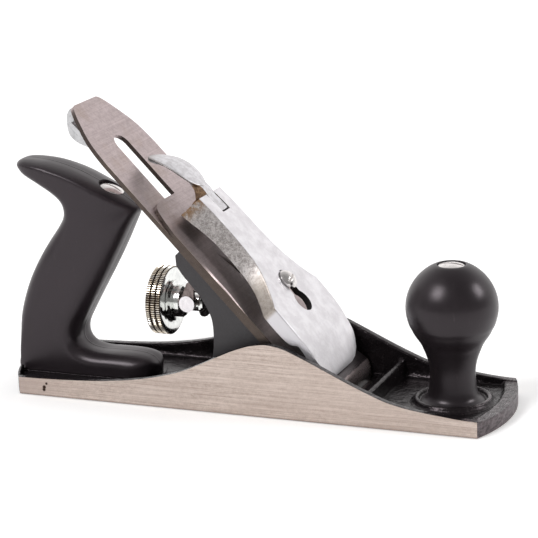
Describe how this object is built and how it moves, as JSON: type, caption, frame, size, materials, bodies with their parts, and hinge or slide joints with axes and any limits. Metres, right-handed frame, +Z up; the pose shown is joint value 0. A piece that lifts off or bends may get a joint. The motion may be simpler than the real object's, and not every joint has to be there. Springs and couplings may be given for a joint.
{
  "type": "bench plane",
  "caption": "Metal bench plane of smoothing size: black casting with ground sides, frog, slotted iron with cap iron, flared lever cap, depth and lateral adjusters, black tote and knob.",
  "frame": {"origin": "centre of the ground sole face, midway between the cheeks' ends", "axes": "+X towards the toe, +Y towards the cheek away from the camera, +Z up; the sole lies in Z = 0"},
  "size_m": [0.2368, 0.062, 0.1327],
  "materials": {
    "casting": "black paint inside and on both ends, ground sole and cheeks",
    "frog_paint": "satin charcoal paint",
    "iron_steel": "ground and brushed, warm tint",
    "plain_steel": "plain turned or stamped steel",
    "nickel": "bright nickel plate",
    "cap_metal": "light plated casting with polished face",
    "handle_plastic": "semi-gloss black moulding"
  },
  "bodies": {
    "stock": {"body_casting": "casting", "frog": "frog_paint", "frog_screws": "plain_steel", "frog_washers": "plain_steel", "depth_stud": "plain_steel", "yoke_pin": "plain_steel", "lateral_rivet": "plain_steel", "tote": "handle_plastic", "tote_rod": "plain_steel", "tote_nut": "nickel", "knob": "handle_plastic", "knob_rod": "plain_steel", "knob_nut": "nickel"},
    "hub": {"depth_hub": "nickel"},
    "wheel": {"depth_wheel": "nickel"},
    "yoke": {"yoke_lever": "plain_steel"},
    "lateral": {"lateral_lever": "plain_steel", "lateral_disc": "plain_steel", "disc_rivet": "plain_steel"},
    "iron_tilt": {"lever_cap_screw": "nickel"},
    "iron_set": {"plane_iron": "iron_steel", "cap_iron": "iron_steel", "cap_iron_screw": "plain_steel"},
    "clamp": {"lever_cap": "cap_metal", "lever_cap_spring": "plain_steel", "spring_rivet": "plain_steel", "cam_pin": "plain_steel"},
    "cam": {"cam_lever": "cap_metal"}
  },
  "joints": [
    {"name": "hub_travel", "type": "slide", "parent": "stock", "child": "hub", "axis": [1, 0, 0], "range_m": [-0.0015, 0.0015]},
    {"name": "wheel_spin", "type": "hinge", "parent": "hub", "child": "wheel", "pos_m": [-0.0473, 0, 0.0411], "axis": [1, 0, 0], "range_deg": [-540, 540]},
    {"name": "yoke_swing", "type": "hinge", "parent": "stock", "child": "yoke", "pos_m": [-0.02565, 0, 0.05788], "axis": [0, 1, 0], "range_deg": [-5.8, 5.8]},
    {"name": "lateral_swing", "type": "hinge", "parent": "stock", "child": "lateral", "pos_m": [-0.02339, 0, 0.06699], "axis": [0.7242, 0, 0.6896], "range_deg": [-4, 4]},
    {"name": "iron_lateral", "type": "hinge", "parent": "stock", "child": "iron_tilt", "pos_m": [-0.00001, 0, 0.04244], "axis": [0.7242, 0, 0.6896], "range_deg": [-1.3, 1.3]},
    {"name": "iron_advance", "type": "slide", "parent": "iron_tilt", "child": "iron_set", "axis": [-0.6896, 0, 0.7242], "range_m": [-0.00103, 0.00103]},
    {"name": "clamp_slide", "type": "slide", "parent": "stock", "child": "clamp", "axis": [-0.6896, 0, 0.7242], "range_m": [0, 0.0114]},
    {"name": "cam_swing", "type": "hinge", "parent": "clamp", "child": "cam", "pos_m": [-0.02348, 0, 0.08623], "axis": [0, 1, 0], "range_deg": [0, 90]}
  ],
  "couplings": [
    {"joint": "wheel_spin", "follows": "hub_travel", "rad_per_m": -6283.1},
    {"joint": "yoke_swing", "follows": "hub_travel", "rad_per_m": -66.31},
    {"joint": "iron_advance", "follows": "hub_travel", "ratio": 0.6843},
    {"joint": "iron_lateral", "follows": "lateral_swing", "ratio": -0.308}
  ]
}
